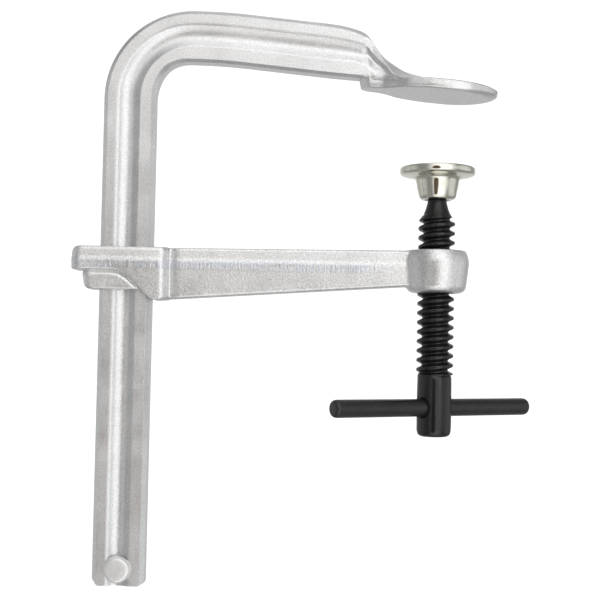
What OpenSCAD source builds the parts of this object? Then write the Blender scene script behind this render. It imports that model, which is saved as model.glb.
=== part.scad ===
// All-steel F clamp, shown with its rail upright.
// The origin is where the spindle axis meets the fixed jaw's clamping face.
// +Z runs up the spindle axis, +X away from the rail, and -Y is the front.

/* [Rail] */
// Distance from the rail's inner edge to the spindle axis
throat_depth = 120.65; // [110:0.05:130]
// Width of the rail's section, along X
rail_w = 22; // [21:0.5:23]
// Thickness of the rail's section, along Y
rail_t = 10.5; // [10:0.5:11]
// Chamfer on the section's corners, along X
rail_chamfer_x = 1.9; // [1.5:0.1:2.1]
// Chamfer on the section's corners, along Y
rail_chamfer_y = 2.1; // [1.5:0.1:2.5]
// Width of the groove rolled along each broad face
groove_w = 8.9; // [7:0.1:9.5]
// Depth of that groove
groove_depth = 1.6; // [1:0.1:2]
// How far the rail's free end is below the jaw face
rail_bottom = 209.7; // [205:0.1:220]
// Chamfer across the rail's free end
rail_end_chamfer = 2.6; // [1:0.1:3]

/* [Fixed jaw] */
// Outer radius of the bend
bend_r_outer = 38; // [36:0.5:42]
// How far the bend's centre is below the jaw face
bend_centre_below = 4.1; // [3:0.1:7]
// Slope of the jaw arm towards its tip, in degrees
jaw_slope = 5.5; // [4:0.1:6]
// Centreline radius of the slight crown between the bend and the straight jaw arm
crown_r = 239; // [150:1:300]
// Length of the straight jaw arm
jaw_arm_l = 38; // [36:1:40]
// Slope of the clamping face, which comes square to the spindle under load
face_slope = 4.3; // [3:0.1:5]
// Width of the flattened jaw tip, along Y
tip_w = 32.8; // [30:0.1:35]
// How far the jaw tip reaches past the spindle axis
tip_reach = 24.8; // [22:0.1:25]
// Thickness of the jaw tip at its rim
tip_t = 4.2; // [4:0.1:5]
// How much thicker the tip is along its middle, over the spindle axis
tip_crown = 1.8; // [1:0.1:2.5]

/* [Stop rivet] */
// How far the rivet is above the rail's free end
rivet_up = 7; // [6.5:0.5:9]
// Diameter of the rivet's shank
rivet_shank_d = 8; // [6:0.5:8]
// Diameter of the rivet's heads
rivet_head_d = 11.8; // [10:0.2:12]
// Height of each rivet head
rivet_head_h = 3; // [2.5:0.1:3.5]

/* [Sliding arm] */
// How far the top of the arm's head is below the jaw face
arm_top_below = 67.7; // [60:0.1:75]
// How much higher the beam's top is at the boss than at the head
beam_rise = 0.9; // [0:0.1:1.5]
// Height of the arm's boss
boss_h = 18; // [16:0.5:20]
// Diameter of the boss at its parting plane
boss_d = 27.8; // [26:0.1:29]
// Thickness of the arm's head, along Y
head_t = 19.8; // [19:0.2:21]
// Thickness of the beam, along Y
beam_t = 13; // [11:0.5:15]
// Clearance between the rail and its window, each side
slide_gap = 0.3; // [0.2:0.05:0.4]

/* [Spindle] */
// Outer diameter of the thread
thread_d = 15.7; // [15:0.1:16]
// Root diameter of the thread
root_d = 11.2; // [10.5:0.1:12]
// Pitch of the thread
pitch = 4; // [4:1:4]
// Diameter of the plain hub that holds the tommy bar
hub_d = 14.7; // [14:0.1:15]
// Clearance round the thread in the boss
bore_gap = 0.1; // [0.05:0.01:0.2]
// Diameter of the ball end
ball_d = 11.2; // [11:0.1:11.4]

/* [Tommy bar] */
// Diameter of the bar
bar_d = 7.5; // [6:0.5:8]
// Length of the bar
bar_l = 102; // [80:1:110]
// Angle of the bar about the spindle axis, from +X
bar_angle = 31; // [0:1:90]

/* [Pressure pad] */
// Diameter of the pad's flange
pad_d = 32; // [30:0.5:34]
// How far the pad's face is below the jaw face
pad_below = 30.9; // [30:0.1:32]
// Clearance round the ball in its socket
ball_gap = 0.1; // [0.05:0.01:0.15]

/* [Hidden] */
$fn = 48;

steel = "#c9cac8";
blackened = "#303432";
nickel = "#c8c2ae";

// ---- Rail and fixed jaw ----
rail_x = -throat_depth - rail_w / 2;
bend_r_mid = bend_r_outer - rail_w / 2;
bend_x = rail_x + bend_r_mid;
crown_overlap = 0.12;
crown_inset = 0.01;
groove_r = (pow(groove_w / 2, 2) + pow(groove_depth, 2)) / (2 * groove_depth);

// The jaw's end is drawn in a frame tilted by face_slope, in which its clamping face is level.
web_start = -46;
nose_x = -34.2;
nose_top = 22.9;
flare_x = -31;
wide_x = -6;
round_x = 2;
crown_end = 12;
web_power = 2.2;
curve_steps = 14;
web_half = rail_t / 2;

function smooth(t) = let (u = min(1, max(0, t))) u * u * (3 - 2 * u);
function web_top(x) =
    x < 0 ? tip_t + tip_crown + (nose_top - tip_t - tip_crown) * pow(x / nose_x, web_power)
          : tip_t + tip_crown * (1 - smooth(x / crown_end));
function tip_half(x) = web_half + (tip_w / 2 - web_half) * smooth((x - flare_x) / (wide_x - flare_x));

// ---- Stop rivet ----
rivet_z = -rail_bottom + rivet_up;
rivet_edge = 1.1;

// ---- Sliding arm ----
arm_top = -arm_top_below;
head_left = rail_x - 22.7;
head_right = rail_x + 15.4;
head_corner = 4;
lower_left = rail_x - 17.9;
lower_t = head_t - 2;
lower_bottom = arm_top - 18.5;
band_bottom = arm_top - 9.8;
beam_left_bottom = arm_top - 22.2;
beam_right_bottom = arm_top - 14.6;
boss_top = arm_top + beam_rise + 0.3;
boss_parting = boss_top - 5.6;
boss_taper = 1.1;
window_w = rail_w + 2 * slide_gap;
window_t = rail_t + 2 * slide_gap;

// ---- Spindle ----
ball_z = -pad_below - 8.1;
ball_cut = -42.6;
ball_joint_gap = 0.05;
neck_r = 3.9;
neck = [[neck_r, ball_cut - ball_joint_gap], [neck_r, -44.9], [4.4, -47.1], [5.2, -49.5], [5.9, -50.9], [6.9, -52.2]];
thread_top = -53.2;
hub_top = -118.9;
hub_bottom = -145.2;
hub_edge = 1.5;
turns = floor((thread_top - hub_top) / pitch);
crest_half = 0.55;
flank = 0.8;
bar_z = -133;
bar_edge = 0.9;

// ---- Pressure pad ----
pad_top = -pad_below;
pad_r = pad_d / 2;
throat_r = 4.95;

// inset draws the section that much smaller all round.
module rail_profile(inset = 0) {
    w = rail_w / 2 - inset;
    t = rail_t / 2 - inset;
    difference() {
        polygon([
            [-w, -t + rail_chamfer_y],
            [-w + rail_chamfer_x, -t],
            [w - rail_chamfer_x, -t],
            [w, -t + rail_chamfer_y],
            [w, t - rail_chamfer_y],
            [w - rail_chamfer_x, t],
            [-w + rail_chamfer_x, t],
            [-w, t - rail_chamfer_y]
        ]);
        for (side = [-1, 1])
            translate([0, side * (t + groove_r - groove_depth)])
                circle(groove_r);
    }
}

module rail_leg() {
    difference() {
        translate([rail_x, 0, -rail_bottom])
            linear_extrude(rail_bottom - bend_centre_below)
                rail_profile();
        for (side = [-1, 1])
            translate([rail_x + side * rail_w / 2, 0, -rail_bottom])
                rotate([0, 45, 0])
                    cube([rail_end_chamfer * sqrt(2), rail_t + 2, rail_end_chamfer * sqrt(2)], center = true);
        translate([rail_x, 0, rivet_z])
            rotate([90, 0, 0])
                cylinder(d = rivet_shank_d, h = rail_t + 2, center = true);
    }
}

// The crown starts a little inside the end of the bend, with a section just small enough to lie within it.
module rail_bend_and_arm() {
    translate([bend_x, 0, -bend_centre_below])
        rotate([90, 0, 0])
            rotate([0, 0, 90])
                rotate_extrude(angle = 90)
                    translate([bend_r_mid, 0])
                        rail_profile();
    translate([bend_x, 0, -bend_centre_below + bend_r_mid - crown_r])
        rotate([90, 0, 0])
            rotate([0, 0, 90 - jaw_slope]) {
                rotate_extrude(angle = jaw_slope + crown_overlap)
                    translate([crown_r, 0])
                        rail_profile(crown_inset);
                translate([crown_r, 0, 0])
                    rotate([90, 0, 0])
                        linear_extrude(jaw_arm_l)
                            rail_profile(crown_inset);
            }
}

// Side view of the jaw's end, in the tilted frame. lift is how much of the web is kept.
module tip_side(lift) {
    polygon([
        [tip_reach, 0],
        [tip_reach, tip_t],
        for (i = [0 : 5])
            let (x = crown_end * (1 - i / 5))
            [x, tip_t + lift * (web_top(x) - tip_t)],
        for (i = [1 : curve_steps])
            let (x = nose_x * i / curve_steps)
            [x, tip_t + lift * (web_top(x) - tip_t)],
        if (lift == 1) [-38.5, 24.1],
        if (lift == 1) [-42.9, 25],
        if (lift == 1) [web_start, 25.3],
        if (lift == 1) [web_start, 4.3],
        if (lift == 1) [-35.4, 3.9],
        [-33.3, 0]
    ]);
}

module tip_plan(spread) {
    half = web_half + spread * (tip_w / 2 - web_half);
    intersection() {
        for (side = [-1, 1])
            polygon([
                [flare_x - 2, 0],
                for (i = [0 : curve_steps])
                    let (x = flare_x - 2 + i * (round_x - flare_x + 2) / curve_steps)
                    [x, side * (web_half + spread * (tip_half(x) - web_half))],
                for (i = [1 : curve_steps])
                    let (a = 90 * i / curve_steps)
                    [round_x + (tip_reach - round_x) * sin(a), side * half * cos(a)]
            ]);
        translate([flare_x - 3, -half])
            square([tip_reach - flare_x + 3, 2 * half]);
    }
}

module tip_layer(lift, spread) {
    intersection() {
        rotate([90, 0, 0])
            linear_extrude(tip_w + 2, center = true)
                tip_side(lift);
        translate([0, 0, -1])
            linear_extrude(40)
                tip_plan(spread);
    }
}

// The web between the arm and the flat tip, with the rounded ends of the arm's grooves.
module tip_web() {
    groove_y = rail_t / 2 + groove_r - groove_depth;
    difference() {
        rotate([90, 0, 0])
            linear_extrude(rail_t - 0.4, center = true)
                tip_side(1);
        translate([-4, -rail_t, -1])
            cube([40, 2 * rail_t, 40]);
        for (side = [-1, 1])
            translate([-37.5, side * groove_y, 14]) {
                sphere(groove_r);
                rotate([0, -90, 0])
                    cylinder(r = groove_r, h = 12);
            }
    }
}

module rail() {
    color(steel) {
        rail_leg();
        rail_bend_and_arm();
        rotate([0, face_slope, 0]) {
            tip_web();
            tip_layer(0.28, 0.5);
            tip_layer(0, 1);
        }
    }
}

module stop_rivet() {
    half = rail_t / 2;
    color(steel)
        translate([rail_x, 0, rivet_z])
            rotate([90, 0, 0])
                rotate_extrude()
                    polygon([
                        [0, -half - rivet_head_h],
                        [rivet_head_d / 2 - rivet_edge, -half - rivet_head_h],
                        [rivet_head_d / 2, -half - rivet_head_h + rivet_edge],
                        [rivet_head_d / 2, -half],
                        [rivet_shank_d / 2, -half],
                        [rivet_shank_d / 2, half],
                        [rivet_head_d / 2, half],
                        [rivet_head_d / 2, half + rivet_head_h - rivet_edge],
                        [rivet_head_d / 2 - rivet_edge, half + rivet_head_h],
                        [0, half + rivet_head_h]
                    ]);
}

// Plan of the head: a rectangle with rounded ends to its left side and bevels to its right.
module head_plan(left, thickness) {
    for (side = [-1, 1])
        translate([left + head_corner, side * (thickness / 2 - head_corner)])
            circle(head_corner);
    translate([left, -thickness / 2 + head_corner])
        square([head_corner * 2, thickness - 2 * head_corner]);
    polygon([
        [left + head_corner, -thickness / 2],
        [head_right - 1.5, -thickness / 2],
        [head_right + 1.5, -thickness / 2 + 1.8],
        [head_right + 3, -beam_t / 2],
        [head_right + 3, beam_t / 2],
        [head_right + 1.5, thickness / 2 - 1.8],
        [head_right - 1.5, thickness / 2],
        [left + head_corner, thickness / 2]
    ]);
}

// Side view of the head's thick part: its lower edge sweeps down from the band behind the rail to the beam.
module head_side() {
    sweep_steps = 10;
    sweep_left = rail_x - 5;
    sweep_right = rail_x + 10.5;
    polygon([
        [head_left, arm_top - 1.8],
        [head_left + 2.4, arm_top],
        [head_right + 4, arm_top],
        [head_right + 4, beam_left_bottom],
        for (i = [sweep_steps : -1 : 0])
            [
                sweep_left + (sweep_right - sweep_left) * i / sweep_steps,
                band_bottom + (beam_left_bottom - band_bottom) * smooth(i / sweep_steps)
            ],
        [lower_left, band_bottom],
        [head_left, band_bottom + 0.8]
    ]);
}

module lower_side() {
    polygon([
        [lower_left - 0.6, band_bottom + 1],
        [lower_left + 0.6, lower_bottom + 4.2],
        [lower_left + 1.8, lower_bottom + 1.4],
        [lower_left + 4, lower_bottom],
        [rail_x + 8, lower_bottom],
        [rail_x + 8, band_bottom + 1]
    ]);
}

module beam() {
    rotate([90, 0, 0])
        linear_extrude(beam_t, center = true)
            polygon([
                [head_right - 2, arm_top],
                [head_right + 4, arm_top + 0.2],
                [-8, arm_top + beam_rise],
                [-8, beam_right_bottom],
                [head_right, beam_left_bottom + 0.2],
                [head_right - 2, beam_left_bottom + 0.2]
            ]);
}

module boss() {
    r = boss_d / 2;
    rotate_extrude()
        polygon([
            [0, boss_top],
            [r - boss_taper - 0.8, boss_top],
            [r - boss_taper, boss_top - 0.7],
            [r - 0.35, boss_parting + 2.2],
            [r, boss_parting],
            [r - 0.3, boss_parting - 3],
            [r - boss_taper, boss_top - boss_h + 1.9],
            [r - boss_taper - 1, boss_top - boss_h + 0.5],
            [r - boss_taper - 2.2, boss_top - boss_h],
            [0, boss_top - boss_h]
        ]);
}

module sliding_arm() {
    color(steel)
        difference() {
            union() {
                intersection() {
                    rotate([90, 0, 0])
                        linear_extrude(head_t + 2, center = true)
                            head_side();
                    translate([0, 0, beam_left_bottom - 1])
                        linear_extrude(boss_h + 10)
                            head_plan(head_left, head_t);
                }
                intersection() {
                    rotate([90, 0, 0])
                        linear_extrude(head_t + 2, center = true)
                            lower_side();
                    translate([0, 0, lower_bottom - 1])
                        linear_extrude(boss_h + 10)
                            head_plan(lower_left - 0.6, lower_t);
                }
                beam();
                boss();
            }
            translate([rail_x, 0, arm_top - 10])
                cube([window_w, window_t, 40], center = true);
            translate([0, 0, boss_top - boss_h - 1])
                cylinder(d = thread_d + 2 * bore_gap, h = boss_h + 2);
        }
}

// The thread is drawn as rings at its true pitch.
module spindle() {
    hub_r = hub_d / 2;
    color(blackened)
        difference() {
            rotate_extrude()
                polygon(concat(
                    [[0, ball_cut - ball_joint_gap]],
                    neck,
                    [[root_d / 2, thread_top]],
                    [
                        for (i = [0 : turns - 1], k = [0 : 3])
                            let (z = thread_top - pitch * (i + 0.5))
                            k == 0 ? [root_d / 2, z + crest_half + flank]
                            : k == 1 ? [thread_d / 2, z + crest_half]
                            : k == 2 ? [thread_d / 2, z - crest_half]
                            : [root_d / 2, z - crest_half - flank]
                    ],
                    [
                        [root_d / 2, hub_top + 0.6],
                        [hub_r - 0.5, hub_top],
                        [hub_r, hub_top - 1.2],
                        [hub_r, hub_bottom + hub_edge],
                        [hub_r - hub_edge, hub_bottom],
                        [0, hub_bottom]
                    ]
                ));
            translate([0, 0, bar_z])
                rotate([0, 0, bar_angle])
                    rotate([0, 90, 0])
                        cylinder(d = bar_d, h = hub_d + 2, center = true);
        }
}

// The ball is the spindle's own end, kept apart because it looks the same however far it has turned.
module spindle_ball() {
    color(blackened)
        difference() {
            translate([0, 0, ball_z])
                sphere(d = ball_d);
            translate([-ball_d, -ball_d, ball_cut - ball_d])
                cube([2 * ball_d, 2 * ball_d, ball_d]);
        }
}

module tommy_bar() {
    r = bar_d / 2;
    color(blackened)
        translate([0, 0, bar_z])
            rotate([0, 0, bar_angle])
                rotate([0, 90, 0])
                    rotate_extrude()
                        polygon([
                            [0, -bar_l / 2],
                            [r - bar_edge, -bar_l / 2],
                            [r, -bar_l / 2 + bar_edge],
                            [r, bar_l / 2 - bar_edge],
                            [r - bar_edge, bar_l / 2],
                            [0, bar_l / 2]
                        ]);
}

module pressure_pad() {
    color(nickel)
        difference() {
            rotate_extrude()
                polygon([
                    [0, pad_top],
                    [pad_r - 0.5, pad_top],
                    [pad_r, pad_top - 0.7],
                    [pad_r, pad_top - 2.2],
                    [pad_r - 0.7, pad_top - 3.1],
                    [pad_r - 2.2, pad_top - 3.7],
                    [9.9, pad_top - 4.3],
                    [9.2, pad_top - 5],
                    [7.9, pad_top - 11.9],
                    [7.3, pad_top - 13.2],
                    [6.4, pad_top - 13.8],
                    [0, pad_top - 13.8]
                ]);
            translate([0, 0, ball_z])
                sphere(d = ball_d + 2 * ball_gap);
            translate([0, 0, pad_top - 14.3])
                cylinder(r1 = throat_r + 0.8, r2 = throat_r, h = 2);
            translate([0, 0, pad_top - 12.4])
                cylinder(r = throat_r, h = 3);
        }
}

rail();
stop_rivet();
sliding_arm();
spindle();
spindle_ball();
tommy_bar();
pressure_pad();
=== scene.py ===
"""All-steel F clamp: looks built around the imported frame.

Shapes are worked out in millimetres and made in metres.
"""
import math
from bisect import bisect_right

import bmesh
import bpy
import numpy as np
from mathutils import Matrix, Vector, noise


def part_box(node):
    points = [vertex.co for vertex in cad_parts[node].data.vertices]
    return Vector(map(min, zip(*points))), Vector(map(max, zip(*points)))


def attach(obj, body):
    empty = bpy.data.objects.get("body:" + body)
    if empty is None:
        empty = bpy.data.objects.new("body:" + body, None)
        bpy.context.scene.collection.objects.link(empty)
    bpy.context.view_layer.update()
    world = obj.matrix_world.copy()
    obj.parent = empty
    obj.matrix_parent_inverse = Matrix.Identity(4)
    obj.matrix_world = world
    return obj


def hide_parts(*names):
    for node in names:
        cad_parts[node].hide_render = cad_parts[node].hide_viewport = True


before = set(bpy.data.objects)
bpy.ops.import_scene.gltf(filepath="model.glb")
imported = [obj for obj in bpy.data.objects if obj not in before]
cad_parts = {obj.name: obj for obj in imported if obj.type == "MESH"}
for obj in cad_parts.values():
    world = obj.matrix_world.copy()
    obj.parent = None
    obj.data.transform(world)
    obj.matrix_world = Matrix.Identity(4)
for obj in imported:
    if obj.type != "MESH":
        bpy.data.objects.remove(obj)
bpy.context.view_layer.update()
scene = bpy.context.scene
scene.view_settings.view_transform = "Standard"
MM = 0.001


def box(node):
    lo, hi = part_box(node)
    return lo / MM, hi / MM


# ---------------------------------------------------------------- shape helpers
def smooth(t):
    t = min(1.0, max(0.0, t))
    return t * t * (3 - 2 * t)


def ramp(x, a, b):
    """0 before a, 1 after b, smooth between."""
    return smooth((x - a) / (b - a))


def curve(*points):
    """A smooth function through (x, y) points that never overshoots them."""
    xs, ys = [p[0] for p in points], [p[1] for p in points]
    d = [(ys[i + 1] - ys[i]) / (xs[i + 1] - xs[i]) for i in range(len(xs) - 1)]
    m = [d[0]] + [0.0 if a * b <= 0 else 2 * a * b / (a + b) for a, b in zip(d, d[1:])] + [d[-1]]

    def at(x):
        if x <= xs[0]:
            return ys[0]
        if x >= xs[-1]:
            return ys[-1]
        i = bisect_right(xs, x) - 1
        h = xs[i + 1] - xs[i]
        t = (x - xs[i]) / h
        return ((2 * t ** 3 - 3 * t * t + 1) * ys[i] + (t ** 3 - 2 * t * t + t) * h * m[i]
                + (3 * t * t - 2 * t ** 3) * ys[i + 1] + (t ** 3 - t * t) * h * m[i + 1])
    return at


def rmax(a, b, r):
    """Intersection of two distance fields with a rounded edge of radius r."""
    return np.minimum(np.maximum(a, b), -r) + np.hypot(np.maximum(a + r, 0), np.maximum(b + r, 0))


def rmin(a, b, r):
    """Union of two distance fields with a fillet of radius r."""
    return np.maximum(np.minimum(a, b), r) - np.hypot(np.maximum(r - a, 0), np.maximum(r - b, 0))


def add_mesh(name, verts, faces, sharp=40, weld=1e-5):
    """A mesh object from millimetre vertices, welded, with outward normals."""
    bm = bmesh.new()
    made = [bm.verts.new((v[0] * MM, v[1] * MM, v[2] * MM)) for v in verts]
    for f in faces:
        try:
            bm.faces.new([made[i] for i in f])
        except ValueError:
            pass
    if weld:
        bmesh.ops.remove_doubles(bm, verts=bm.verts, dist=weld)
        bmesh.ops.dissolve_degenerate(bm, dist=1e-7, edges=bm.edges)
    bmesh.ops.recalc_face_normals(bm, faces=bm.faces)
    return bm_object(name, bm, sharp)


def bm_object(name, bm, sharp=40):
    mesh = bpy.data.meshes.new(name)
    bm.to_mesh(mesh)
    bm.free()
    mesh.polygons.foreach_set("use_smooth", [True] * len(mesh.polygons))
    if sharp:
        mesh.set_sharp_from_angle(angle=math.radians(sharp))
    obj = bpy.data.objects.new(name, mesh)
    scene.collection.objects.link(obj)
    return obj


def ring_faces(rings, n, closed=True):
    """Quads between rings of n vertices each, numbered one after another."""
    out = []
    for k in range(rings - 1):
        for i in range(n if closed else n - 1):
            j = (i + 1) % n
            out.append((k * n + i, k * n + j, (k + 1) * n + j, (k + 1) * n + i))
    return out


def revolve(name, rows, steps, place, ends=True, sharp=40):
    """Rows of (radius, height): place(row, angle index) gives a vertex. A 0 row is one point on the axis."""
    verts, faces, starts = [], [], []
    for k, row in enumerate(rows):
        starts.append((len(verts), 1 if row[0] == 0 else steps))
        if row[0] == 0:
            verts.append(place(row, 0))
        else:
            verts += [place(row, i) for i in range(steps)]
    for (a, na), (b, nb) in zip(starts, starts[1:]):
        for i in range(steps):
            j = (i + 1) % steps
            if na == 1 and nb == 1:
                continue
            if na == 1:
                faces.append((a, b + j, b + i))
            elif nb == 1:
                faces.append((a + i, a + j, b))
            else:
                faces.append((a + i, a + j, b + j, b + i))
    return add_mesh(name, verts, faces, sharp)


def surface_net(f, axes):
    """A quad mesh of the zero surface of f over a grid, each vertex then settled onto the surface."""
    grid = np.meshgrid(*axes, indexing="ij")
    V = f(*grid)
    inside = V < 0
    cells = tuple(s - 1 for s in V.shape)
    total, count = np.zeros(cells + (3,)), np.zeros(cells)
    crossings = []
    for ax in range(3):
        o = [(ax + 1) % 3, (ax + 2) % 3]
        lo, hi = [slice(None)] * 3, [slice(None)] * 3
        lo[ax], hi[ax] = slice(0, -1), slice(1, None)
        lo, hi = tuple(lo), tuple(hi)
        I = np.argwhere(inside[lo] != inside[hi])
        a, b = V[lo][tuple(I.T)], V[hi][tuple(I.T)]
        P = np.stack([axes[k][I[:, k]] for k in range(3)], 1)
        P[:, ax] += a / (a - b) * (axes[ax][I[:, ax] + 1] - axes[ax][I[:, ax]])
        around = []
        for da, db in ((0, 0), (-1, 0), (-1, -1), (0, -1)):
            J = I.copy()
            J[:, o[0]] += da
            J[:, o[1]] += db
            np.add.at(total, tuple(J.T), P)
            np.add.at(count, tuple(J.T), 1)
            around.append(J)
        crossings.append((around, inside[lo][tuple(I.T)]))
    used = count > 0
    ids = np.full(cells, -1)
    ids[used] = np.arange(used.sum())
    P = total[used] / count[used][:, None]
    faces = []
    for around, low_in in crossings:
        Q = np.stack([ids[tuple(J.T)] for J in around], 1)
        Q[~low_in] = Q[~low_in][:, ::-1]
        faces += Q.tolist()
    e = 0.03
    for _ in range(5):
        v = f(P[:, 0], P[:, 1], P[:, 2])
        g = np.stack([f(*(P + d).T) - f(*(P - d).T) for d in np.eye(3) * e], 1) / (2 * e)
        step = -v[:, None] * g / np.maximum((g * g).sum(1), 0.05)[:, None]
        length = np.linalg.norm(step, axis=1)[:, None]
        P = P + step * np.minimum(1, 0.25 / np.maximum(length, 1e-9))
    return P, faces


def bumpy(x, y, z, scale):
    """A repeatable value from -1 to 1 that varies over about scale millimetres."""
    return noise.noise(Vector((x / scale, y / scale, z / scale)))


# ---------------------------------------------------------------- where things are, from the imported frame
RAIL_LO, RAIL_HI = box("rail")
HALF_W, HALF_T = 11.0, 5.25
RAIL_X = RAIL_LO.x + HALF_W
RAIL_Z = RAIL_LO.z
RIVET_LO, RIVET_HI = box("stop_rivet")
RIVET_Z = (RIVET_LO.z + RIVET_HI.z) / 2
ARM_LO, ARM_HI = box("sliding_arm")
SPINDLE_LO, SPINDLE_HI = box("spindle")
BAR_LO, BAR_HI = box("tommy_bar")
BAR_Z = (BAR_LO.z + BAR_HI.z) / 2
PAD_TOP = box("pressure_pad")[1].z
BALL_R = 5.6
BALL_Z = box("spindle_ball")[1].z - BALL_R

# ---------------------------------------------------------------- rail: leg, bend and arm
EDGE = 4.45  # half the groove's width
DEPTH = 1.6
RIM = 0.15  # how far the points on each side of a groove edge stand off it
SIDE = ([-9.1, -8.5, -7.9, -7.3, -6.7, -6.1, -5.5, -5.0, -EDGE - RIM]
        + [-EDGE + RIM + 2 * (EDGE - RIM) * i / 13 for i in range(14)]
        + [EDGE + RIM, 5.8, 6.9, 8.0, 9.1])
# points across the lower flat, each rounded corner and the upper flat: the jaw uses as many, so the rings match
FLAT, CORNER, TOP = 8, 4, 12


def rail_section():
    """(y, n) points of the front half, from the inner side's middle to the outer side's middle."""
    half = [(-3.15 * i / FLAT * 0.98, -HALF_W) for i in range(FLAT + 1)]
    half += [(-3.3, -10.95), (-3.75, -10.46), (-4.65, -9.64), (-5.19, -9.2)]
    for n in SIDE:
        u = n / EDGE
        half.append((-HALF_T + (DEPTH * (1 - u * u) if abs(u) < 1 else 0), n))
    half += [(-5.19, 9.2), (-4.65, 9.64), (-3.75, 10.46), (-3.3, 10.95)]
    half += [(-3.15 * (1 - i / TOP) * 0.98, HALF_W) for i in range(TOP + 1)]
    return half


SECTION = rail_section()
HALF_N = len(SECTION)
RING_N = 2 * HALF_N - 2


def full_ring(half, origin, out):
    """The closed ring for a front half of (y, n) points: its mirror image in Y makes the back."""
    ring = []
    for y, n in half + [(-y, n) for y, n in half[-2:0:-1]]:
        ring.append((origin[0] + out[0] * n, y, origin[1] + out[1] * n))
    return ring


def slim(half, k):
    """The same section with the chamfer on its inner corner k times as tall."""
    return [(y, -HALF_W + (n + HALF_W) * k if n < -9.05 else n) for y, n in half]


ARM_SECTION = slim(SECTION, 0.5)
BEND_R, CROWN_R = 27.0, 239.0
CROWN = 5.5  # degrees that the arm turns down over its crown
BEND_X, BEND_Z = RAIL_X + BEND_R, RAIL_HI.z - 38.0
rings = []
for z in [RAIL_Z, RAIL_Z + 3, RIVET_Z, -185, -165, -145, -125, -105, -85, -65, -45, -25, -12, -7, BEND_Z - 0.8]:
    rings.append(full_ring(SECTION, (RAIL_X, z), (-1, 0)))
for k in range(41):
    phi = math.radians(90 * k / 40)
    out = (-math.cos(phi), math.sin(phi))
    tight = 0.13 * math.sin(math.pi * min(1, max(0, (k / 40 - 0.12) / 0.95))) ** 2
    half = slim(SECTION, 1 - 0.5 * ramp(k, 18, 40))
    half = [(y, n if n > -EDGE else -EDGE + (n + EDGE) * (1 - tight)) for y, n in half]
    rings.append(full_ring(half, (BEND_X + BEND_R * out[0], BEND_Z + BEND_R * out[1]), out))
for k in range(1, 7):
    d = math.radians(CROWN * k / 6)
    out = (math.sin(d), math.cos(d))
    end = (BEND_X + CROWN_R * out[0], BEND_Z + BEND_R - CROWN_R + CROWN_R * out[1])
    rings.append(full_ring(ARM_SECTION, end, out))
for s in (9, 18, 27, 33):
    rings.append(full_ring(ARM_SECTION, (end[0] + s * out[1], end[1] - s * out[0]), out))

# -------------------------------------------------------- rail: forged jaw, in axes tilted like its face
TILT = math.radians(4.3)
ROUND_X, HALF_JAW, TIP = 2, 16.4, 24.8  # where the jaw's round end starts, its half width there, its tip
crest = curve((-46, 25.8), (-40, 25), (-35, 23.8), (-33, 22.6), (-30, 19), (-25, 14.5), (-20, 11.4),
              (-15, 9), (-10, 7.8), (0, 6.4), (12, 4.7), (TIP, 4.2))
shoulder = curve((-46, 25.8), (-40, 24.9), (-35, 23.5), (-33, 22.2), (-30, 18.6), (-26, 13.4), (-22, 8),
                 (-20, 5.8), (-18, 4.8), (-15, 4.4), (TIP, 4.2))
spread = curve((-30, HALF_T), (-25, 6.2), (-22, 8), (-18, 11.5), (-14, 13.6), (-9, 15.1), (-4, 16.1),
               (ROUND_X, HALF_JAW))
GROOVE_END = -20
groove_top = curve((-46, 19.3), (-38, 18.2), (-33, 17.2), (-30, 14.3), (-26, 10.8), (-22, 6.6),
                   (GROOVE_END, 4.9))
groove_low = curve((-46, 10.4), (-38, 10.6), (-34, 9.6), (-32, 8.4), (-30, 6.3), (-28, 4.7), (-26, 4.2),
                   (GROOVE_END, 3.9))
groove_deep = curve((-46, DEPTH), (-36, DEPTH), (-31, 1.75), (-26, 1.5), (-23, 1), (GROOVE_END, 0))


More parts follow.
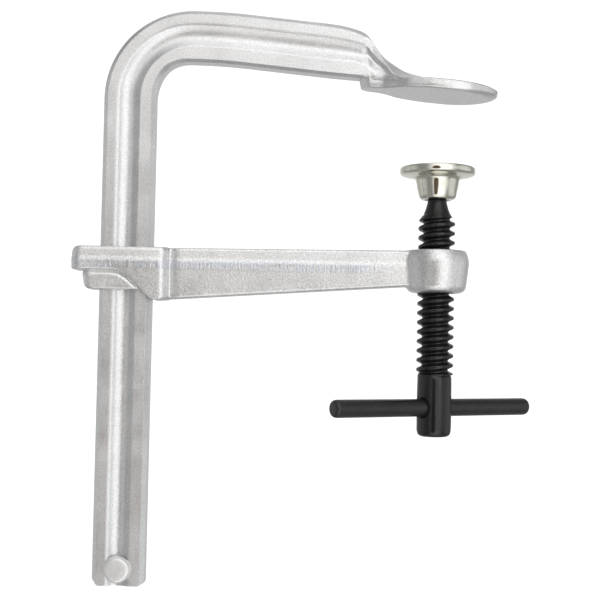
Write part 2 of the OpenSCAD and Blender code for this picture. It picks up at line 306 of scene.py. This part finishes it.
def jaw_half(x):
    """(y, z) points of the jaw's front half where x is the distance along its clamping face."""
    if x <= ROUND_X:
        w = spread(x)
    else:
        w = HALF_JAW * math.sqrt(max(0.0, 1 - ((x - ROUND_X) / (TIP - ROUND_X)) ** 2))
    plate = ramp(x, -35, -30)
    flat = ramp(x, -30, -22)

    def edge(d, reach, height, roundness):
        """How much a chamfer or round takes off at distance d inside the outline."""
        t = max(0.0, 1 - d / reach)
        return height * ((1 - roundness) * t + roundness * (1 - math.sqrt(max(0.0, 1 - t * t))))

    def inset(y):
        if x <= ROUND_X:
            return w - abs(y)
        return (1 - math.hypot((x - ROUND_X) / (TIP - ROUND_X), y / HALF_JAW)) * 17.5

    blunt = ramp(x, 8, 23)
    low_reach, low_h = 2.1 + (1.25 - 2.1) * plate + 2.4 * blunt, 0.95 + (1.25 - 0.95) * plate + 1.0 * blunt
    top_reach = 2.1 + (0.55 - 2.1) * plate + 0.75 * flat
    top_h = 1.9 + (0.5 - 1.9) * plate + 0.75 * flat

    def bottom(y):
        riser = -34.0 + 0.135 * min(abs(y), 5.4) ** 2
        return 3.85 * (1 - ramp(x, riser - 0.6, riser + 0.5)) + edge(inset(y), low_reach, low_h, plate)

    def top(y):
        u = min(1.0, abs(y) / max(w, 0.01))
        a, b = 2.0 - 0.4 * flat, 1.1 + 0.9 * flat
        hump = (crest(x) - shoulder(x)) * (1 - u ** a) ** b
        return shoulder(x) + hump - edge(inset(y), top_reach, top_h, plate)

    lr, tr = min(low_reach, 0.6 * w), min(top_reach, 0.6 * w)
    half = [(-(w - lr) * i / FLAT, bottom((w - lr) * i / FLAT)) for i in range(FLAT + 1)]
    for i in range(1, CORNER + 1):
        y = w - lr * (1 - i / (CORNER + 0.6)) ** 1.6
        half.append((-y, bottom(y)))
    z0, z1 = bottom(w), top(w)
    h = z1 - z0
    free = ramp(x, -21.5, -18.5)
    g0 = max(groove_low(x), z0 + 0.16 * h) * (1 - free) + (z0 + 0.33 * h) * free
    g1 = min(groove_top(x), z1 - 0.16 * h) * (1 - free) + (z0 + 0.67 * h) * free
    soft = min(0.15, 0.03 * h)
    line = 3.25 + 0.25 * bumpy(x, 4, 0, 3.0)
    crease = ramp(x, -30.2, -29.2)
    low = [z0 + (g0 - soft - z0) * i / 8 for i in range(9)]
    seam = [z0, z0 + 0.4 * (line - z0), z0 + 0.8 * (line - z0)]
    seam += [line + d for d in (-0.3, -0.14, 0, 0.14, 0.3)] + [g0 - soft]
    levels = [a + (b - a) * crease for a, b in zip(low, seam)]
    levels += [g0 + soft + (g1 - g0 - 2 * soft) * i / 13 for i in range(14)]
    levels += [g1 + soft + (z1 - g1 - soft) * i / 4 for i in range(5)]
    mid, wide = (groove_top(x) + groove_low(x)) / 2, (groove_top(x) - groove_low(x)) / 2
    for z in levels:
        y = w
        u = (z - mid) / wide
        if x < GROOVE_END and abs(u) < 1:
            t = (0.5 + 0.5 * u) ** (1 + 1.3 * plate)
            y -= groove_deep(x) * 4 * t * (1 - t)
        if crease > 0:
            fade = crease * (1 - ramp(x, -15, -9))
            y -= (0.42 + 0.15 * bumpy(x, 0, 5, 0.9)) * math.exp(-((z - line) / 0.2) ** 2) * fade
        if x > -24:
            y += 0.12 * bumpy(x, 0, z, 2.2) * (1 - ramp(x, 20, 24)) * ramp(x, -24, -20)
        half.append((-y, z))
    for i in range(CORNER, 0, -1):
        y = w - tr * (1 - i / (CORNER + 0.6)) ** 1.6
        half.append((-y, top(y)))
    for i in range(TOP, -1, -1):
        y = (w - tr) * i / TOP
        half.append((-y, top(y)))
    return half


stations = [-45.0, -43.0, -41.0, -39.5, -38.0]
stations += [-37 + 0.5 * i for i in range(29)]
stations += [-22 + 0.75 * i for i in range(14)]
stations += [-11 + 1.2 * i for i in range(10)]
stations += [ROUND_X + (TIP - ROUND_X) * math.sin(math.radians(90 * i / 26)) for i in range(1, 27)]
out = (math.sin(TILT), math.cos(TILT))
for x in stations:
    rings.append(full_ring(jaw_half(x), (x * out[1], -x * out[0]), out))

verts = [v for r in rings for v in r]
faces = ring_faces(len(rings), RING_N)
first = next(i for i, p in enumerate(SECTION) if p[1] > -HALF_W)
last = max(i for i, p in enumerate(SECTION) if p[1] < HALF_W)


def back(i):
    """The mirror twin in the first ring of its front vertex i."""
    return 0 if i == 0 else (HALF_N - 1 if i == HALF_N - 1 else RING_N - i)


# the free end is closed by one face at each narrow side, and a strip of quads between them
faces.append([back(i) for i in range(first, 0, -1)] + list(range(first + 1)))
faces += [(i, i + 1, back(i + 1), back(i)) for i in range(first, last)]
faces.append(list(range(last, HALF_N)) + [back(i) for i in range(HALF_N - 2, last - 1, -1)])
CRISP = 26  # degrees, low enough to keep the groove's edges
rail = add_mesh("rail_body", verts, faces, sharp=CRISP)

# the free end's corners are cut off, more on its outer side
bm = bmesh.new()
bm.from_mesh(rail.data)
for side, wide, tall in ((-1, 2.6, 2.6), (1, 2.4, 1.3)):
    corner = Vector((RAIL_X + side * (HALF_W - wide), 0, RAIL_Z)) * MM
    normal = Vector((side * tall, 0, -wide)).normalized()
    whole = bm.verts[:] + bm.edges[:] + bm.faces[:]
    cut = bmesh.ops.bisect_plane(bm, geom=whole, plane_co=corner, plane_no=normal, clear_outer=True)
    bmesh.ops.contextual_create(bm, geom=[e for e in cut["geom_cut"] if isinstance(e, bmesh.types.BMEdge)])
bmesh.ops.recalc_face_normals(bm, faces=bm.faces)
bm.to_mesh(rail.data)
bm.free()
rail.data.polygons.foreach_set("use_smooth", [True] * len(rail.data.polygons))
rail.data.set_sharp_from_angle(angle=math.radians(CRISP))

# ---------------------------------------------------------------- sliding arm, a drop forging
ARM_TOP = ARM_HI.z - 1.2
HEAD_L, HEAD_R = ARM_LO.x, ARM_LO.x + 38.1
BOSS_TOP = ARM_HI.z


PARTING = -74


def arm_field(x, y, z):
    """Below 0 inside the arm: head, beam and boss with fillets, less the rail's window and the bore."""
    # the flash strip round the parting line, and the draft above and below it
    band = np.exp(-(np.clip(np.abs(z + 74.6) - 1.9, 0, None) / 0.4) ** 2)
    draft = 0.055 * np.clip(z - PARTING, 0, None) + 0.035 * np.clip(PARTING - z, 0, None)
    ay = np.abs(y)
    half_head = 9.9 - 0.08 - draft + 0.08 * band
    # the head's lower edge runs down to the beam in a wave
    t = np.clip((x + 139) / 20, 0, 1) ** 1.4
    wave = -77.5 - 12.2 * t * t * (3 - 2 * t) + 0.0676 * np.clip(x + 118, 0, None)
    slope = np.interp(x, [-140, -133, -128, -122, -118, -110], [0, 0.35, 1.2, 1.0, 0.1, -0.07])
    under = (wave - z) / np.hypot(1, slope)
    plan = rmax(rmax(HEAD_L + draft - x, ay - half_head, 4.6), x - HEAD_R - 2.7, 3.4)
    head = rmax(rmax(plan, z - ARM_TOP, 1.1 + 1.6 * np.exp(-((x - HEAD_L) / 2.6) ** 2)), under, 0.5)
    # the lower step of the head, set in under a small lip
    taper = 0.16 * np.clip(-77.5 - z, 0, None)
    under_lip = 0.8 * np.exp(-((wave - 0.5 - z) / 0.9) ** 2)
    low = rmax(-149.9 + taper + 0.5 * under_lip - x, ay - 8.8 + under_lip + 0.25 * taper, 3.6)
    low = rmax(rmax(low, x + 122, 1.0), -85.7 - z, 0.8 + 1.6 * np.exp(-((x + 149) / 3) ** 2))
    head = rmin(head, rmax(low, z - PARTING, 0.5), 0.3)
    # the beam, with a shallow valley where it leaves the head
    valley = np.exp(-((x + 112.6) / 2) ** 2)
    half_beam = 6.6 - 0.08 + 0.08 * band - draft * 0.8 - 1.0 * valley
    rise = ARM_TOP - 0.1 + 0.9 * np.clip((x + 112) / 104, 0, 1)
    sole = np.interp(x, [-118, -12, 10], [-89.7, -81.95, -81.95])
    beam = rmax(rmax(rmax(ay - half_beam, z - rise, 1.0), sole - z, 1.1), rmax(-119 - x, x - 3, 0.5), 0.5)
    arm = rmin(head, beam, 0.9)
    r = np.hypot(x, y)
    # the boss is widest at the parting line, crowned above it, drafted below it and rounded at the bottom
    above, under_line = np.clip(z + 72, 0, None), np.clip(-72 - z, 0, None)
    below = np.clip((-81.5 - z) / 3, 0, 1)
    radius = 13.85 - 0.05 * above ** 2 - 0.115 * under_line - 3 * (1 - np.sqrt(1 - below ** 2))
    boss = rmax(rmax(r - radius, z - BOSS_TOP, 0.35), -84.5 - z, 0.8)
    arm = rmin(arm, boss, 1.3)
    arm = np.maximum(arm, z - BOSS_TOP)
    window = np.maximum(np.abs(x - RAIL_X) - 11.3, ay - 5.55)
    arm = rmax(arm, -window, 0.4)
    return rmax(arm, 7.95 - r, 0.55)


def spaced(*spans):
    """Positions through (from, to, step) spans that follow one another."""
    out = [spans[0][0]]
    for a, b, step in spans:
        n = max(1, round((b - a) / step))
        out += [a + (b - a) * (i + 1) / n for i in range(n)]
    return np.array(out)


fine = 0.6  # grid step in millimetres
P, faces = surface_net(arm_field, [
    spaced((HEAD_L - 1.1, -105, fine), (-105, -20, 2 * fine), (-20, ARM_HI.x + 1.2, fine)),
    spaced((-14.6, 14.6, fine)),
    spaced((-91.4, -77.4, fine), (-77.4, -71, 0.4), (-71, BOSS_TOP + 0.9, fine))])
arm = add_mesh("sliding_arm_forging", P.tolist(), faces, sharp=50, weld=0)

# ---------------------------------------------------------------- stop rivet, peened over at both ends
profile = [(0, -8.2), (1.2, -8.21), (2.4, -8.2), (3.5, -8.17), (4.4, -8.1), (4.85, -7.96), (5.15, -7.7),
           (5.4, -7.3), (5.6, -6.8), (5.75, -6.25), (5.82, -5.7), (5.8, -5.42), (5.6, -5.28), (4.6, -5.26),
           (4.0, -5.2), (4.0, -3.0)]
profile += [(r, -y) for r, y in profile[::-1]]
STEPS = 56


def rivet_point(row, i):
    r, y = row
    a = 2 * math.pi * i / STEPS
    x, z = r * math.cos(a), r * math.sin(a)
    peen = 0.0
    if abs(y) > 7.3:
        peen = 0.05 * bumpy(x + 3, y, z, 2.6) - 0.04 + 0.035 * bumpy(x + 9, y, z, 1.0)
    wobble = 1 + 0.018 * math.sin(3 * a + (0.6 if y < 0 else 2.2)) * (r / 5.8) * (abs(y) > 5.25)
    y = max(-8.25, min(8.25, y + peen * math.copysign(1, y)))
    return (RAIL_X + x * wobble * 0.985, y, RIVET_Z + z * wobble * 0.985)


rivet = revolve("stop_rivet_peened", profile, STEPS, rivet_point, sharp=60)

# ---------------------------------------------------------------- spindle: neck, rolled thread and hub
PITCH, PHASE = 4.0, -98.9
ROOT, DEEP = 5.62, 2.2  # the thread's root radius and depth
NECK = curve((-54, 8.1), (-52, 6.6), (-50, 5.4), (-47, 4.4), (-45, 4), (-42.6, 3.85))
HUB_TOP, HUB_LOW = -118.9, SPINDLE_LO.z
HUB = curve((HUB_LOW, 5.2), (HUB_LOW + 0.3, 6), (HUB_LOW + 1, 6.8), (HUB_LOW + 3, 7.3), (-133, 7.35),
            (-120, 7.2), (-119, 6.9), (-118, 5.6))
TURN = 72
levels = [SPINDLE_HI.z] + [SPINDLE_HI.z - 0.45 * i for i in range(1, 19)]
top, low = levels[-1], HUB_TOP - 0.6
THREAD_ROWS = 270
levels += [top + (low - top) * (i + 1) / THREAD_ROWS for i in range(THREAD_ROWS)]
levels += list(-spaced((-low, 127.6, 0.8), (127.6, 138.4, 0.45), (138.4, 143, 0.9), (143, 145.2, 0.2))[1:])
BAR_R = 3.75
BAR_A = math.radians(31)


def spindle_radius(z, a):
    """A right-hand thread that fades into the neck above and, unevenly round it, into the hub below."""
    p = ((z - PHASE) / PITCH - a / (2 * math.pi) + 0.5) % 1.0 - 0.5
    d = abs(p) * PITCH
    g = 0.5 * (1 + math.cos(math.pi * min(1.0, max(0.0, (d - 0.35) / 1.5))))
    r = ROOT + DEEP * g
    r = min(r, NECK(z)) if z > -54.2 else r
    r = max(r, min(NECK(z), ROOT)) if z > -54.2 else r
    lift = 0.55 * math.cos(a - 2.2)
    if z < HUB_TOP + 1.8:
        hub = HUB(z - lift if z > -121 else z)
        in_thread = z > HUB_TOP - 0.2 + max(0, lift)
        return max(r, hub) if in_thread else hub
    return r


def spindle_point(row, i):
    if row[0] == 0:
        return (0, 0, row[1])
    z, a = row[1], 2 * math.pi * i / TURN
    r = spindle_radius(z, a)
    if abs(z - BAR_Z) < 6:
        x, y = r * math.cos(a - BAR_A), r * math.sin(a - BAR_A)
        d = math.hypot(y, z - BAR_Z)
        r -= 0.55 * smooth(1 - (d - BAR_R) / 0.9)
    r += 0.035 * bumpy(r * math.cos(a), r * math.sin(a), z, 3.0)
    return (r * math.cos(a), r * math.sin(a), z)


rows = [(0, SPINDLE_HI.z)] + [(1, z) for z in levels] + [(0, HUB_LOW)]
spindle = revolve("spindle_screw", rows, TURN, spindle_point, sharp=0)

# ---------------------------------------------------------------- tommy bar
END = [(0.0, 0.0), (1.6, 0.0), (2.5, 0.05), (2.95, 0.2), (3.3, 0.5), (3.55, 0.95), (3.7, 1.6), (BAR_R, 2.4)]
HALF_BAR = 51
profile = [(r, s - HALF_BAR) for r, s in END]
profile += [(BAR_R, s - HALF_BAR) for s in (8, 20, 32, 43, 51, 59, 70, 82, 94)]
profile += [(r, HALF_BAR - s) for r, s in END[::-1]]


def bar_point(row, i):
    r, s = row
    a = 2 * math.pi * i / 48
    r *= 1 - 0.004 * (1 + bumpy(s, a, 3.1, 6.0))
    u, v = r * math.cos(a), r * math.sin(a)
    cos, sin = math.cos(BAR_A), math.sin(BAR_A)
    return (s * cos - u * sin, s * sin + u * cos, BAR_Z + v)


bar = revolve("tommy_bar_rod", profile, 48, bar_point, sharp=0)

# ---------------------------------------------------------------- ball end
profile = [(0, BALL_R)]
profile += [(BALL_R * math.sin(math.radians(t)), BALL_R * math.cos(math.radians(t))) for t in range(8, 129, 8)]
profile += [(4.3, -3.6), (3.85, -3.6), (0, -3.6)]


def ball_point(row, i):
    r, z = row
    a = 2 * math.pi * i / 48
    return (r * math.cos(a), r * math.sin(a), BALL_Z + z)


ball = revolve("spindle_ball_end", profile, 48, ball_point, sharp=50)

# ---------------------------------------------------------------- pressure pad, crimped round the ball
profile = [(0, 0), (6, 0), (11, 0), (14.4, 0), (15.2, -0.03), (15.6, -0.16), (15.85, -0.42), (15.98, -0.85),
           (16, -1.4), (16, -2.0), (15.93, -2.5), (15.7, -2.92), (15.3, -3.22), (14.6, -3.45), (13.6, -3.66),
           (12.4, -3.86), (11.2, -4.05), (10.4, -4.25), (9.85, -4.55), (9.45, -5.0), (9.2, -5.6), (9.05, -6.4),
           (8.9, -7.4), (8.72, -8.4), (8.52, -9.4), (8.3, -10.4), (8.08, -11.3), (7.92, -12.0), (7.72, -12.6),
           (7.42, -13.1), (7.0, -13.5), (6.5, -13.72), (5.95, -13.78), (5.5, -13.65), (5.2, -13.3),
           (5.03, -12.8), (4.97, -12.2), (4.96, -11.4), (5.0, -10.9)]
SOCKET_R, SOCKET_Z = 5.7, -8.1
profile += [(SOCKET_R * math.cos(math.radians(t)), SOCKET_Z + SOCKET_R * math.sin(math.radians(t)))
            for t in range(-26, 86, 8)]
profile += [(0, -2.4)]


def pad_point(row, i):
    """The cup's rim is crimped in round the ball, so it is a little out of round."""
    r, z = row
    a = 2 * math.pi * i / 96
    k = ramp(-z, 9.5, 13.0) * (r > 5.3)
    lobe = 0.16 * math.cos(3 * a + 0.9) + 0.1 * math.cos(5 * a + 2.0)
    outer = r > 5.72 or z > -2
    if outer:
        r += k * lobe + (0.05 * math.cos(7 * a + 1.0) * ramp(-z, 4.4, 6.5))
        z = z + k * 0.14 * math.cos(3 * a + 0.9) if z < -9.5 else z
        z = max(z, -13.8)
    return (r * math.cos(a), r * math.sin(a), PAD_TOP + z)


pad = revolve("pressure_pad_shell", profile, 96, pad_point, sharp=0)


# ---------------------------------------------------------------- materials
def material(name, base, rough, metallic, specks):
    """specks: (scale per metre, how much they lighten and darken, how much they bump)."""
    m = bpy.data.materials.new(name)
    m.use_nodes = True
    nt = m.node_tree
    b = nt.nodes["Principled BSDF"]
    b.inputs["Metallic"].default_value = metallic
    link = nt.links.new
    co = nt.nodes.new("ShaderNodeTexCoord").outputs["Object"]

    def tex(scale, detail=3.0, stretch=None, rough_=0.55):
        t = nt.nodes.new("ShaderNodeTexNoise")
        t.inputs["Scale"].default_value = scale
        t.inputs["Detail"].default_value = detail
        t.inputs["Roughness"].default_value = rough_
        if stretch:
            mp = nt.nodes.new("ShaderNodeMapping")
            mp.inputs["Scale"].default_value = stretch
            link(co, mp.inputs["Vector"])
            link(mp.outputs[0], t.inputs["Vector"])
        else:
            link(co, t.inputs["Vector"])
        return t.outputs[0]

    def math_node(op, a, v, clamp=False):
        k = nt.nodes.new("ShaderNodeMath")
        k.operation = op
        k.use_clamp = clamp
        for s, w in zip(k.inputs, (a, v)):
            if isinstance(w, (int, float)):
                s.default_value = w
            else:
                link(w, s)
        return k.outputs[0]

    def to_range(src, a, c, lo, hi):
        r = nt.nodes.new("ShaderNodeMapRange")
        for i, w in enumerate((a, c, lo, hi)):
            r.inputs[i + 1].default_value = w
        link(src, r.inputs[0])
        return r.outputs[0]

    scale, tint, bump = specks
    fine_ = tex(scale)
    broad = tex(70.0, 4.0)
    small, large = to_range(fine_, 0.3, 0.7, -tint, tint), to_range(broad, 0.3, 0.7, -tint * 0.5, tint * 0.5)
    grain = math_node("ADD", small, large)
    col = nt.nodes.new("ShaderNodeMix")
    col.data_type = "RGBA"
    dark = [c * 0.55 for c in base] + [1]
    light = [min(1.0, c * 1.35) for c in base] + [1]
    col.inputs["A"].default_value = dark
    col.inputs["B"].default_value = light
    link(math_node("ADD", grain, 0.56, True), col.inputs[0])
    link(col.outputs["Result"], b.inputs["Base Color"])
    wear = math_node("ADD", tex(scale * 0.6), broad)
    link(to_range(wear, 0.6, 1.4, rough - 0.07, rough + 0.09), b.inputs["Roughness"])
    bp = nt.nodes.new("ShaderNodeBump")
    bp.inputs["Strength"].default_value = bump
    bp.inputs["Distance"].default_value = 0.0002
    link(fine_, bp.inputs["Height"])
    link(bp.outputs[0], b.inputs["Normal"])
    return m, nt, b, tex, math_node, to_range, bp, co


rail_steel = material("rail_steel", (0.76, 0.77, 0.78), 0.35, 0.9, (1500.0, 0.17, 0.32))[0]
arm_steel, nt, b, tex, math_node, to_range, bp, co = material(
    "forged_steel", (0.82, 0.83, 0.82), 0.36, 0.9, (1250.0, 0.24, 0.5))
# vertical shear marks along the strip where the forging's flash was trimmed: bumped, and darkened in colour as
# partly their own tone and partly painted shade
sep = nt.nodes.new("ShaderNodeSeparateXYZ")
nt.links.new(co, sep.inputs[0])
height = sep.outputs[2]
strip_low, strip_high = to_range(height, -0.0772, -0.0762, 0, 1), to_range(height, -0.0736, -0.0726, 1, 0)
strip = math_node("MULTIPLY", strip_low, strip_high)
strip = math_node("MULTIPLY", strip, to_range(sep.outputs[0], -0.030, -0.018, 1, 0))
streaks = tex(1500.0, 1.0, (1, 1, 0.1))
marks = math_node("MULTIPLY", streaks, strip)
b2 = nt.nodes.new("ShaderNodeBump")
b2.inputs["Strength"].default_value = 0.35
b2.inputs["Distance"].default_value = 0.0004
nt.links.new(marks, b2.inputs["Height"])
nt.links.new(bp.outputs[0], b2.inputs["Normal"])
nt.links.new(b2.outputs[0], b.inputs["Normal"])
# painted shade: the marks' colour is multiplied darker and bluish, partly the trimmed metal's own tone and
# partly shade painted in for their relief
streaks_and_painted_shade = nt.nodes.new("ShaderNodeMix")
streaks_and_painted_shade.data_type = "RGBA"
streaks_and_painted_shade.blend_type = "MULTIPLY"
streaks_and_painted_shade.inputs["B"].default_value = (0.86, 0.90, 1.0, 1)
nt.links.new(math_node("MULTIPLY", strip, to_range(streaks, 0.42, 0.62, 0.1, 0.9)), streaks_and_painted_shade.inputs[0])
nt.links.new(b.inputs["Base Color"].links[0].from_socket, streaks_and_painted_shade.inputs["A"])
nt.links.new(streaks_and_painted_shade.outputs["Result"], b.inputs["Base Color"])
rivet_steel = material("rivet_steel", (0.93, 0.93, 0.91), 0.42, 0.7, (900.0, 0.08, 0.35))[0]
black = material("black_oxide", (0.006, 0.0065, 0.0065), 0.19, 0.0, (1100.0, 0.3, 0.2))[0]
bar_black = material("black_oxide_bar", (0.013, 0.014, 0.013), 0.26, 0.0, (1000.0, 0.3, 0.3))[0]
for dark in (black, bar_black):
    dark.node_tree.nodes["Principled BSDF"].inputs["Specular IOR Level"].default_value = 0.5
nickel = material("nickel_plate", (0.82, 0.77, 0.66), 0.07, 1.0, (500.0, 0.08, 0.05))[0]

for obj, mat, body, node, slot in (
        (rail, rail_steel, "rail", "rail", "rail_steel"),
        (rivet, rivet_steel, "rail", "stop_rivet", "rivet_steel"),
        (arm, arm_steel, "arm", "sliding_arm", "arm_steel"),
        (spindle, black, "spindle", "spindle", "spindle_steel"),
        (bar, bar_black, "spindle", "tommy_bar", "bar_steel"),
        (ball, black, "screw_end", "spindle_ball", "spindle_steel"),
        (pad, nickel, "pad", "pressure_pad", "pad_nickel")):
    obj.data.materials.append(mat)
    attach(obj, body)
    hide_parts(node)

# ---------------------------------------------------------------- floor
bm = bmesh.new()
bmesh.ops.create_grid(bm, x_segments=1, y_segments=1, size=12)
floor = bm_object("floor", bm, 0)
floor.location = (0, 0, RAIL_Z * MM - 0.075)  # low enough for the spindle when the arm is down on its stop
m = bpy.data.materials.new("floor")
m.use_nodes = True
nt = m.node_tree
b = nt.nodes["Principled BSDF"]
b.inputs["Base Color"].default_value = (0.9, 0.9, 0.9, 1)
b.inputs["Roughness"].default_value = 0.9
b.inputs["Emission Color"].default_value = (1, 1, 1, 1)
b.inputs["Emission Strength"].default_value = 0.55
floor.data.materials.append(m)
floor.visible_glossy = False

# ---------------------------------------------------------------- camera
cam_data = bpy.data.cameras.new("camera")
cam = bpy.data.objects.new("camera", cam_data)
scene.collection.objects.link(cam)
scene.camera = cam
cam_data.sensor_width = 36.0
cam_data.lens = 70.56
PITCH_UP, ROLL = math.radians(2.2), math.radians(1.15)
cam.matrix_world = (Matrix.Translation((-0.0577, -0.500, -0.1077))
                    @ Matrix.Rotation(math.radians(90) + PITCH_UP, 4, "X") @ Matrix.Rotation(ROLL, 4, "Z"))

# ---------------------------------------------------------------- soft studio light
world = bpy.data.worlds.new("world")
scene.world = world
world.use_nodes = True
nt = world.node_tree
link = nt.links.new
bg = nt.nodes["Background"]
direction = nt.nodes.new("ShaderNodeTexCoord").outputs["Generated"]


# a white tent lit from the front right, in soft round patches, with angles in degrees:
# (turn to the right of the front, height, half spread, strength)
LIGHTS = [(10, 0, 55, 1.0),      # main soft box, front right
          (10, 50, 45, 0.8),     # the same side, from above
          (10, -50, 45, 0.8),    # its bounce off the white table
          (85, 0, 40, 0.5),      # right wall of the tent
          (-100, 0, 40, 0.3),    # left wall, further off
          (180, 10, 60, 0.4),    # back wall
          (0, 90, 40, 0.4)]      # roof
AMBIENT = 0.3
glow = None
for az, el, spread_, strength in LIGHTS:
    az, el = math.radians(az), math.radians(el)
    dot = nt.nodes.new("ShaderNodeVectorMath")
    dot.operation = "DOT_PRODUCT"
    link(direction, dot.inputs[0])
    dot.inputs[1].default_value = (math.sin(az) * math.cos(el), -math.cos(az) * math.cos(el), math.sin(el))
    patch = nt.nodes.new("ShaderNodeMapRange")
    patch.interpolation_type = "SMOOTHSTEP"
    link(dot.outputs["Value"], patch.inputs[0])
    for i, v in enumerate((math.cos(math.radians(spread_)), math.cos(math.radians(3)), 0.0, strength)):
        patch.inputs[i + 1].default_value = v
    total = nt.nodes.new("ShaderNodeMath")
    total.operation = "ADD"
    link(patch.outputs[0], total.inputs[0])
    if glow is None:
        total.inputs[1].default_value = AMBIENT
    else:
        link(glow, total.inputs[1])
    glow = total.outputs[0]
# a darker, warmer patch where the camera and the person behind it would stand, twice as tall as it is wide
squash = nt.nodes.new("ShaderNodeVectorMath")
squash.operation = "MULTIPLY"
link(direction, squash.inputs[0])
squash.inputs[1].default_value = (1, 1, 0.5)
unit = nt.nodes.new("ShaderNodeVectorMath")
unit.operation = "NORMALIZE"
link(squash.outputs[0], unit.inputs[0])
dot = nt.nodes.new("ShaderNodeVectorMath")
dot.operation = "DOT_PRODUCT"
link(unit.outputs[0], dot.inputs[0])
aside = math.radians(-10)
dot.inputs[1].default_value = Vector((math.sin(aside), -math.cos(aside), -0.1)).normalized()
person = nt.nodes.new("ShaderNodeMapRange")
person.interpolation_type = "SMOOTHSTEP"
link(dot.outputs["Value"], person.inputs[0])
for i, v in enumerate((math.cos(math.radians(16)), math.cos(math.radians(10)), 1.0, 0.1)):
    person.inputs[i + 1].default_value = v
dim = nt.nodes.new("ShaderNodeMath")
dim.operation = "MULTIPLY"
link(glow, dim.inputs[0])
link(person.outputs[0], dim.inputs[1])
glow = dim.outputs[0]
warm = nt.nodes.new("ShaderNodeMix")
warm.data_type = "RGBA"
link(person.outputs[0], warm.inputs[0])
warm.inputs["A"].default_value = (1.0, 0.78, 0.58, 1)
warm.inputs["B"].default_value = (1, 1, 1, 1)
seen = nt.nodes.new("ShaderNodeLightPath").outputs["Is Camera Ray"]
mixed = nt.nodes.new("ShaderNodeMix")
mixed.data_type = "FLOAT"
link(seen, mixed.inputs[0])
link(glow, mixed.inputs[2])
mixed.inputs[3].default_value = 1.15
link(mixed.outputs[0], bg.inputs[1])
plain = nt.nodes.new("ShaderNodeMix")
plain.data_type = "RGBA"
link(seen, plain.inputs[0])
link(warm.outputs["Result"], plain.inputs["A"])
plain.inputs["B"].default_value = (1, 1, 1, 1)
link(plain.outputs["Result"], bg.inputs[0])

key = bpy.data.lights.new("strip_box", "AREA")
key.shape = "RECTANGLE"
key.size, key.size_y, key.energy = 0.08, 0.40, 0.4
box_ = bpy.data.objects.new("strip_box", key)
turn = math.radians(33)
box_.location = (1.4 * math.sin(turn), -1.4 * math.cos(turn), 0.06)
box_.rotation_euler = (Vector((-0.02, 0, -0.1)) - box_.location).to_track_quat("-Z", "Y").to_euler()
scene.collection.objects.link(box_)
